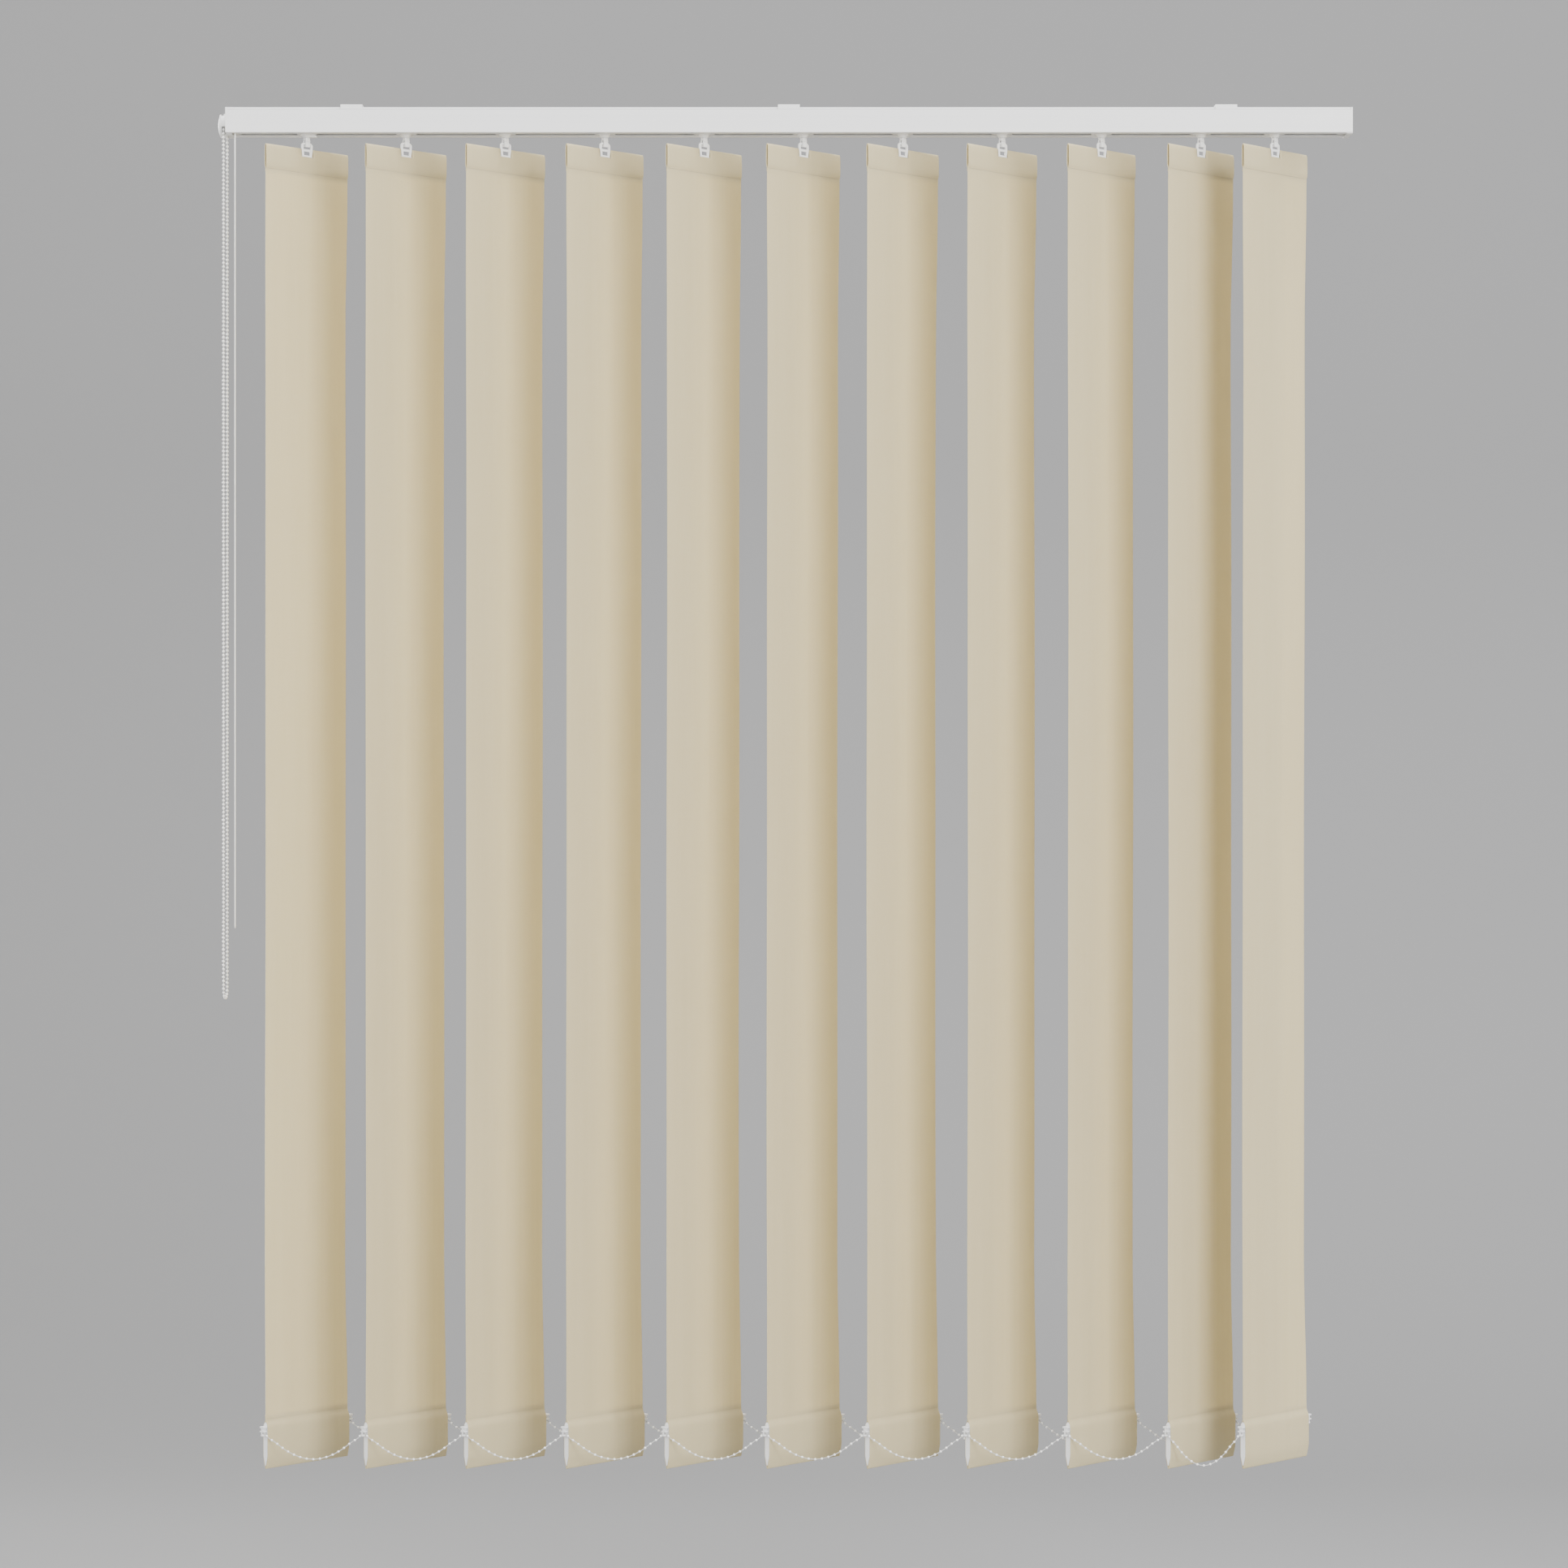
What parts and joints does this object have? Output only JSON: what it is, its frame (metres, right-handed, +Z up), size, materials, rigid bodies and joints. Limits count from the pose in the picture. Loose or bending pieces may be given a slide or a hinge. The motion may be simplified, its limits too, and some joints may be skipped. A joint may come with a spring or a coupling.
{
  "type": "vertical blind",
  "caption": "Vertical blind: fabric louvres with weighted feet hang from trucks in a slotted headrail, tilted by a bead chain and drawn aside by a looped cord.",
  "frame": {"origin": "middle of the headrail's length, on the line of the louvre pivots, in the plane that the brackets are screwed to", "axes": "+X to the right along the headrail seen from the room, +Y towards the window, +Z up"},
  "size_m": [1.2998, 0.1092, 1.5553],
  "materials": {
    "rail_white": "satin white powder coat",
    "cap_plastic": "moulded white",
    "truck_plastic": "natural white acetal",
    "clear_white_plastic": "moulded white",
    "weight_plastic": "moulded white",
    "louvre_fabric": "beige plain weave",
    "bead_plastic": "white beads on white string",
    "cord_white": "braided white cord",
    "rod_aluminium": "mill",
    "bracket_enamel": "satin white enamel",
    "screw_steel": "zinc plated"
  },
  "bodies": {
    "rail": {"headrail": "rail_white", "control_end_cap": "cap_plastic", "control_cover": "cap_plastic", "cover_screw": "screw_steel", "cord_guide": "truck_plastic", "idle_end_cap": "cap_plastic", "pulley_pin": "screw_steel", "mounting_brackets": "bracket_enamel", "control_chain": "bead_plastic", "draw_cord": "cord_white", "traverse_cord": "cord_white", "truck_11": "truck_plastic"},
    "tilt_drive": {"tilt_rod": "rod_aluminium", "chain_wheel": "truck_plastic"},
    "idler": {"idler_pulley": "truck_plastic"},
    "carrier_01": {"truck_01": "truck_plastic"},
    "carrier_02": {"truck_02": "truck_plastic"},
    "carrier_03": {"truck_03": "truck_plastic"},
    "carrier_04": {"truck_04": "truck_plastic"},
    "carrier_05": {"truck_05": "truck_plastic"},
    "carrier_06": {"truck_06": "truck_plastic"},
    "carrier_07": {"truck_07": "truck_plastic"},
    "carrier_08": {"truck_08": "truck_plastic"},
    "carrier_09": {"truck_09": "truck_plastic"},
    "carrier_10": {"truck_10": "truck_plastic"},
    "vane_01": {"hanger_01": "clear_white_plastic", "louvre_01": "louvre_fabric", "weight_01": "weight_plastic"},
    "vane_02": {"hanger_02": "clear_white_plastic", "louvre_02": "louvre_fabric", "weight_02": "weight_plastic"},
    "vane_03": {"hanger_03": "clear_white_plastic", "louvre_03": "louvre_fabric", "weight_03": "weight_plastic"},
    "vane_04": {"hanger_04": "clear_white_plastic", "louvre_04": "louvre_fabric", "weight_04": "weight_plastic"},
    "vane_05": {"hanger_05": "clear_white_plastic", "louvre_05": "louvre_fabric", "weight_05": "weight_plastic"},
    "vane_06": {"hanger_06": "clear_white_plastic", "louvre_06": "louvre_fabric", "weight_06": "weight_plastic"},
    "vane_07": {"hanger_07": "clear_white_plastic", "louvre_07": "louvre_fabric", "weight_07": "weight_plastic"},
    "vane_08": {"hanger_08": "clear_white_plastic", "louvre_08": "louvre_fabric", "weight_08": "weight_plastic"},
    "vane_09": {"hanger_09": "clear_white_plastic", "louvre_09": "louvre_fabric", "weight_09": "weight_plastic"},
    "vane_10": {"hanger_10": "clear_white_plastic", "louvre_10": "louvre_fabric", "weight_10": "weight_plastic"},
    "vane_11": {"hanger_11": "clear_white_plastic", "louvre_11": "louvre_fabric", "weight_11": "weight_plastic"},
    "front_chain": {"bottom_chain_front": "bead_plastic"},
    "back_chain": {"bottom_chain_back": "bead_plastic"}
  },
  "joints": [
    {"name": "traverse", "type": "slide", "parent": "rail", "child": "carrier_01", "axis": [1, 0, 0], "range_m": [0, 0.7887], "deforming": ["bottom_chain_front", "bottom_chain_back"]},
    {"name": "traverse_02", "type": "slide", "parent": "rail", "child": "carrier_02", "axis": [1, 0, 0], "range_m": [-0.0005, 0.70826]},
    {"name": "traverse_03", "type": "slide", "parent": "rail", "child": "carrier_03", "axis": [1, 0, 0], "range_m": [-0.0005, 0.62733]},
    {"name": "traverse_04", "type": "slide", "parent": "rail", "child": "carrier_04", "axis": [1, 0, 0], "range_m": [-0.0005, 0.54639]},
    {"name": "traverse_05", "type": "slide", "parent": "rail", "child": "carrier_05", "axis": [1, 0, 0], "range_m": [-0.0005, 0.46546]},
    {"name": "traverse_06", "type": "slide", "parent": "rail", "child": "carrier_06", "axis": [1, 0, 0], "range_m": [-0.0005, 0.38452]},
    {"name": "traverse_07", "type": "slide", "parent": "rail", "child": "carrier_07", "axis": [1, 0, 0], "range_m": [-0.0005, 0.30358]},
    {"name": "traverse_08", "type": "slide", "parent": "rail", "child": "carrier_08", "axis": [1, 0, 0], "range_m": [-0.0005, 0.22265]},
    {"name": "traverse_09", "type": "slide", "parent": "rail", "child": "carrier_09", "axis": [1, 0, 0], "range_m": [-0.0005, 0.14171]},
    {"name": "traverse_10", "type": "slide", "parent": "rail", "child": "carrier_10", "axis": [1, 0, 0], "range_m": [-0.0005, 0.06078]},
    {"name": "tilt", "type": "hinge", "parent": "carrier_01", "child": "vane_01", "pos_m": [-0.5531, 0, -0.042], "axis": [0, 0, 1], "range_deg": [-29, 111]},
    {"name": "tilt_02", "type": "hinge", "parent": "carrier_02", "child": "vane_02", "pos_m": [-0.4391, 0, -0.042], "axis": [0, 0, 1], "range_deg": [-29.5, 111.5]},
    {"name": "tilt_03", "type": "hinge", "parent": "carrier_03", "child": "vane_03", "pos_m": [-0.3251, 0, -0.042], "axis": [0, 0, 1], "range_deg": [-29.5, 111.5]},
    {"name": "tilt_04", "type": "hinge", "parent": "carrier_04", "child": "vane_04", "pos_m": [-0.2111, 0, -0.042], "axis": [0, 0, 1], "range_deg": [-29.5, 111.5]},
    {"name": "tilt_05", "type": "hinge", "parent": "carrier_05", "child": "vane_05", "pos_m": [-0.0971, 0, -0.042], "axis": [0, 0, 1], "range_deg": [-29.5, 111.5]},
    {"name": "tilt_06", "type": "hinge", "parent": "carrier_06", "child": "vane_06", "pos_m": [0.0169, 0, -0.042], "axis": [0, 0, 1], "range_deg": [-29.5, 111.5]},
    {"name": "tilt_07", "type": "hinge", "parent": "carrier_07", "child": "vane_07", "pos_m": [0.1309, 0, -0.042], "axis": [0, 0, 1], "range_deg": [-29.5, 111.5]},
    {"name": "tilt_08", "type": "hinge", "parent": "carrier_08", "child": "vane_08", "pos_m": [0.2449, 0, -0.042], "axis": [0, 0, 1], "range_deg": [-29.5, 111.5]},
    {"name": "tilt_09", "type": "hinge", "parent": "carrier_09", "child": "vane_09", "pos_m": [0.3589, 0, -0.042], "axis": [0, 0, 1], "range_deg": [-29.5, 111.5]},
    {"name": "tilt_10", "type": "hinge", "parent": "carrier_10", "child": "vane_10", "pos_m": [0.4729, 0, -0.042], "axis": [0, 0, 1], "range_deg": [-29.5, 111.5]},
    {"name": "tilt_11", "type": "hinge", "parent": "rail", "child": "vane_11", "pos_m": [0.5578, 0, -0.042], "axis": [0, 0, 1], "range_deg": [-29.5, 111.5]},
    {"name": "rod_spin", "type": "hinge", "parent": "rail", "child": "tilt_drive", "pos_m": [0, 0.007, -0.0208], "axis": [1, 0, 0], "range_deg": [-295, 1115]},
    {"name": "idler_spin", "type": "hinge", "parent": "rail", "child": "idler", "pos_m": [0.62, -0.008, -0.008], "axis": [0, 0, 1], "range_deg": [-6465, 5]},
    {"name": "front_chain_swing", "type": "hinge", "parent": "vane_11", "child": "front_chain", "pos_m": [0.51365, -0.05079, -1.5144], "axis": [0, 0, 1], "range_deg": [-111.5, 29.5]},
    {"name": "back_chain_swing", "type": "hinge", "parent": "vane_11", "child": "back_chain", "pos_m": [0.60195, 0.05079, -1.5144], "axis": [0, 0, 1], "range_deg": [-111.5, 29.5]}
  ],
  "couplings": [
    {"joint": "traverse_02", "follows": "traverse", "ratio": 0.89738},
    {"joint": "traverse_03", "follows": "traverse", "ratio": 0.79476},
    {"joint": "traverse_04", "follows": "traverse", "ratio": 0.69214},
    {"joint": "traverse_05", "follows": "traverse", "ratio": 0.58952},
    {"joint": "traverse_06", "follows": "traverse", "ratio": 0.4869},
    {"joint": "traverse_07", "follows": "traverse", "ratio": 0.38428},
    {"joint": "traverse_08", "follows": "traverse", "ratio": 0.28166},
    {"joint": "traverse_09", "follows": "traverse", "ratio": 0.17904},
    {"joint": "traverse_10", "follows": "traverse", "ratio": 0.076425},
    {"joint": "tilt_02", "follows": "tilt", "ratio": 1},
    {"joint": "tilt_03", "follows": "tilt", "ratio": 1},
    {"joint": "tilt_04", "follows": "tilt", "ratio": 1},
    {"joint": "tilt_05", "follows": "tilt", "ratio": 1},
    {"joint": "tilt_06", "follows": "tilt", "ratio": 1},
    {"joint": "tilt_07", "follows": "tilt", "ratio": 1},
    {"joint": "tilt_08", "follows": "tilt", "ratio": 1},
    {"joint": "tilt_09", "follows": "tilt", "ratio": 1},
    {"joint": "tilt_10", "follows": "tilt", "ratio": 1},
    {"joint": "tilt_11", "follows": "tilt", "ratio": 1},
    {"joint": "rod_spin", "follows": "tilt", "ratio": 10},
    {"joint": "idler_spin", "follows": "traverse", "rad_per_m": -142.86},
    {"joint": "front_chain_swing", "follows": "tilt", "ratio": -1},
    {"joint": "back_chain_swing", "follows": "tilt", "ratio": -1}
  ]
}
